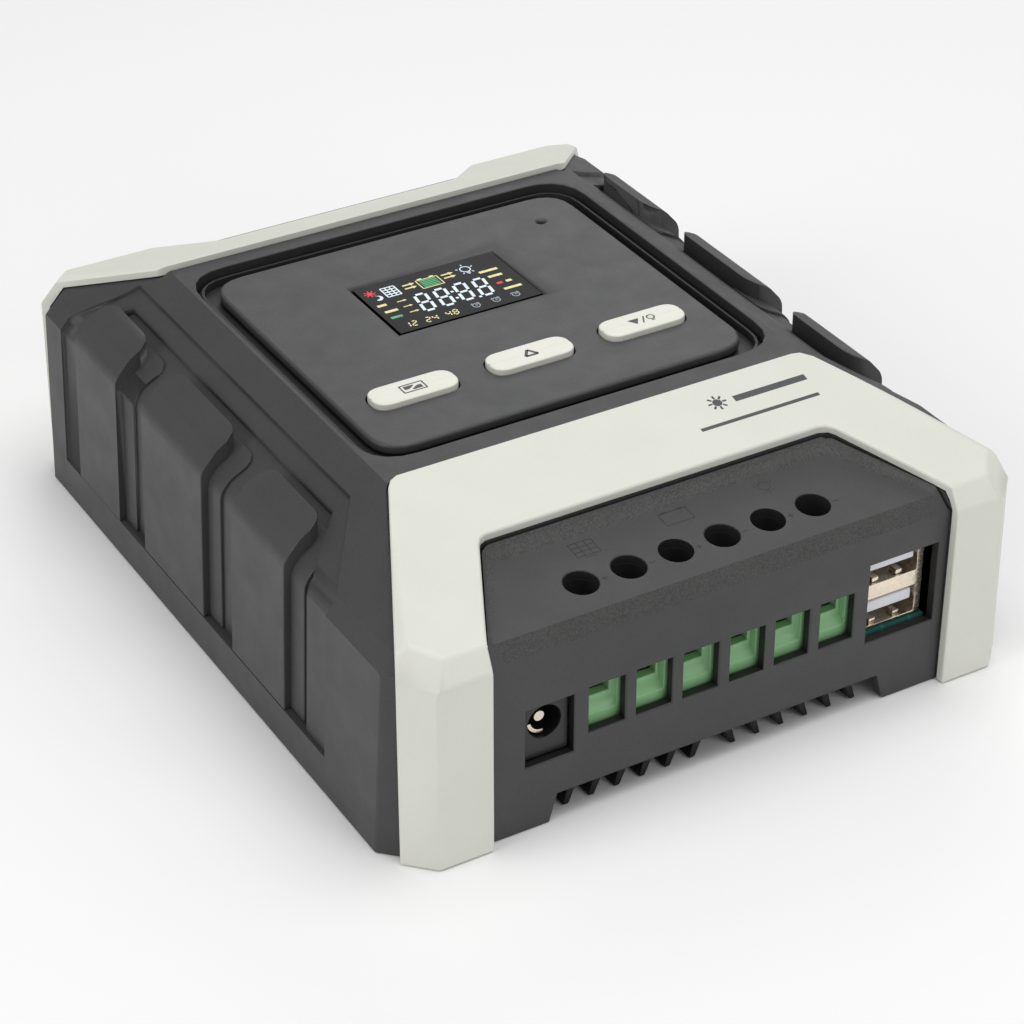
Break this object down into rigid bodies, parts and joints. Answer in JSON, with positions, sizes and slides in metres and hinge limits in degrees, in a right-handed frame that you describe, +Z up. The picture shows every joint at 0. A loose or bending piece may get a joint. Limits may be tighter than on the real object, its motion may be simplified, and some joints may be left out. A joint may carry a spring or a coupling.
{
  "type": "solar charge controller",
  "caption": "Solar charge controller with a sloped ribbed housing, light end trims, sunk LCD panel with push buttons, front screw terminals, DC jack, USB socket and finned base.",
  "frame": {"origin": "middle of the footprint, on the surface the controller stands on", "axes": "+X to the right along the terminal face, +Y from the terminals to the rear, +Z up"},
  "size_m": [0.1296, 0.1578, 0.0501],
  "materials": {
    "housing_plastic": "fine-textured charcoal moulding",
    "trim_plastic": "satin off-white moulding",
    "cover_plastic": "satin charcoal moulding, coarse texture on its bevels",
    "panel_plastic": "fine-textured dark grey plate",
    "black_plastic": "black moulding",
    "white_plastic": "white moulding",
    "button_plastic": "off-white key cap",
    "window_clear": "clear window",
    "lcd_glass": "black display glass with lit segments",
    "board_green": "green circuit board",
    "terminal_plastic": "green terminal moulding",
    "bright_steel": "bright plated steel",
    "screw_steel": "zinc-plated steel",
    "fin_metal": "black anodised aluminium",
    "copper": "enamelled copper winding",
    "pad_grey": "soft heat-conducting pad",
    "ribbon": "flat ribbon cable"
  },
  "bodies": {
    "casing": {"upper_housing": "housing_plastic", "front_trim": "trim_plastic", "rear_trim": "trim_plastic", "terminal_cover": "cover_plastic", "rear_cover": "cover_plastic", "display_panel": "panel_plastic", "display_window": "window_clear", "lcd_module": "lcd_glass", "lcd_backlight": "white_plastic", "display_board": "board_green", "status_led": "white_plastic", "terminal_block": "terminal_plastic", "usb_shell": "bright_steel", "usb_tongue_upper": "white_plastic", "usb_tongue_lower": "white_plastic", "dc_jack_body": "black_plastic", "dc_jack_pin": "bright_steel", "dc_jack_spring": "bright_steel", "main_board": "board_green", "heatsink": "fin_metal", "thermal_pad": "pad_grey", "inductor_core": "black_plastic", "inductor_winding": "copper", "ribbon_cable": "ribbon", "switch_left": "black_plastic", "switch_middle": "black_plastic", "switch_right": "black_plastic", "capacitor_1": "black_plastic", "capacitor_2": "black_plastic", "capacitor_3": "black_plastic", "mosfet_1": "black_plastic", "case_screw_1": "screw_steel", "mosfet_2": "black_plastic", "case_screw_2": "screw_steel", "mosfet_3": "black_plastic", "case_screw_3": "screw_steel", "mosfet_4": "black_plastic", "case_screw_4": "screw_steel", "board_screw_1": "screw_steel", "display_screw_1": "screw_steel", "board_screw_2": "screw_steel", "display_screw_2": "screw_steel"},
    "button_left": {"button_left": "button_plastic"},
    "button_middle": {"button_middle": "button_plastic"},
    "button_right": {"button_right": "button_plastic"},
    "terminal_screw_1": {"terminal_screw_1": "screw_steel"},
    "wire_clamp_1": {"wire_clamp_1": "bright_steel"},
    "terminal_screw_2": {"terminal_screw_2": "screw_steel"},
    "wire_clamp_2": {"wire_clamp_2": "bright_steel"},
    "terminal_screw_3": {"terminal_screw_3": "screw_steel"},
    "wire_clamp_3": {"wire_clamp_3": "bright_steel"},
    "terminal_screw_4": {"terminal_screw_4": "screw_steel"},
    "wire_clamp_4": {"wire_clamp_4": "bright_steel"},
    "terminal_screw_5": {"terminal_screw_5": "screw_steel"},
    "wire_clamp_5": {"wire_clamp_5": "bright_steel"},
    "terminal_screw_6": {"terminal_screw_6": "screw_steel"},
    "wire_clamp_6": {"wire_clamp_6": "bright_steel"}
  },
  "joints": [
    {"name": "button_left_press", "type": "slide", "parent": "casing", "child": "button_left", "axis": [0, 0, -1], "range_m": [0, 0.0006], "stiffness_N_per_m": 300},
    {"name": "button_middle_press", "type": "slide", "parent": "casing", "child": "button_middle", "axis": [0, 0, -1], "range_m": [0, 0.0006], "stiffness_N_per_m": 300},
    {"name": "button_right_press", "type": "slide", "parent": "casing", "child": "button_right", "axis": [0, 0, -1], "range_m": [0, 0.0006], "stiffness_N_per_m": 300},
    {"name": "terminal_screw_1_turn", "type": "hinge", "parent": "casing", "child": "terminal_screw_1", "pos_m": [-0.02375, -0.06745, 0.032], "axis": [0, 0, -1], "range_deg": [0, 720]},
    {"name": "wire_clamp_1_lift", "type": "slide", "parent": "casing", "child": "wire_clamp_1", "axis": [0, 0, 1], "range_m": [0, 0.001]},
    {"name": "terminal_screw_2_turn", "type": "hinge", "parent": "casing", "child": "terminal_screw_2", "pos_m": [-0.01425, -0.06745, 0.032], "axis": [0, 0, -1], "range_deg": [0, 720]},
    {"name": "wire_clamp_2_lift", "type": "slide", "parent": "casing", "child": "wire_clamp_2", "axis": [0, 0, 1], "range_m": [0, 0.001]},
    {"name": "terminal_screw_3_turn", "type": "hinge", "parent": "casing", "child": "terminal_screw_3", "pos_m": [-0.00475, -0.06745, 0.032], "axis": [0, 0, -1], "range_deg": [0, 720]},
    {"name": "wire_clamp_3_lift", "type": "slide", "parent": "casing", "child": "wire_clamp_3", "axis": [0, 0, 1], "range_m": [0, 0.001]},
    {"name": "terminal_screw_4_turn", "type": "hinge", "parent": "casing", "child": "terminal_screw_4", "pos_m": [0.00475, -0.06745, 0.032], "axis": [0, 0, -1], "range_deg": [0, 720]},
    {"name": "wire_clamp_4_lift", "type": "slide", "parent": "casing", "child": "wire_clamp_4", "axis": [0, 0, 1], "range_m": [0, 0.001]},
    {"name": "terminal_screw_5_turn", "type": "hinge", "parent": "casing", "child": "terminal_screw_5", "pos_m": [0.01425, -0.06745, 0.032], "axis": [0, 0, -1], "range_deg": [0, 720]},
    {"name": "wire_clamp_5_lift", "type": "slide", "parent": "casing", "child": "wire_clamp_5", "axis": [0, 0, 1], "range_m": [0, 0.001]},
    {"name": "terminal_screw_6_turn", "type": "hinge", "parent": "casing", "child": "terminal_screw_6", "pos_m": [0.02375, -0.06745, 0.032], "axis": [0, 0, -1], "range_deg": [0, 720]},
    {"name": "wire_clamp_6_lift", "type": "slide", "parent": "casing", "child": "wire_clamp_6", "axis": [0, 0, 1], "range_m": [0, 0.001]}
  ],
  "couplings": [
    {"joint": "terminal_screw_1_turn", "follows": "wire_clamp_1_lift", "rad_per_m": 12566},
    {"joint": "terminal_screw_2_turn", "follows": "wire_clamp_2_lift", "rad_per_m": 12566},
    {"joint": "terminal_screw_3_turn", "follows": "wire_clamp_3_lift", "rad_per_m": 12566},
    {"joint": "terminal_screw_4_turn", "follows": "wire_clamp_4_lift", "rad_per_m": 12566},
    {"joint": "terminal_screw_5_turn", "follows": "wire_clamp_5_lift", "rad_per_m": 12566},
    {"joint": "terminal_screw_6_turn", "follows": "wire_clamp_6_lift", "rad_per_m": 12566}
  ]
}
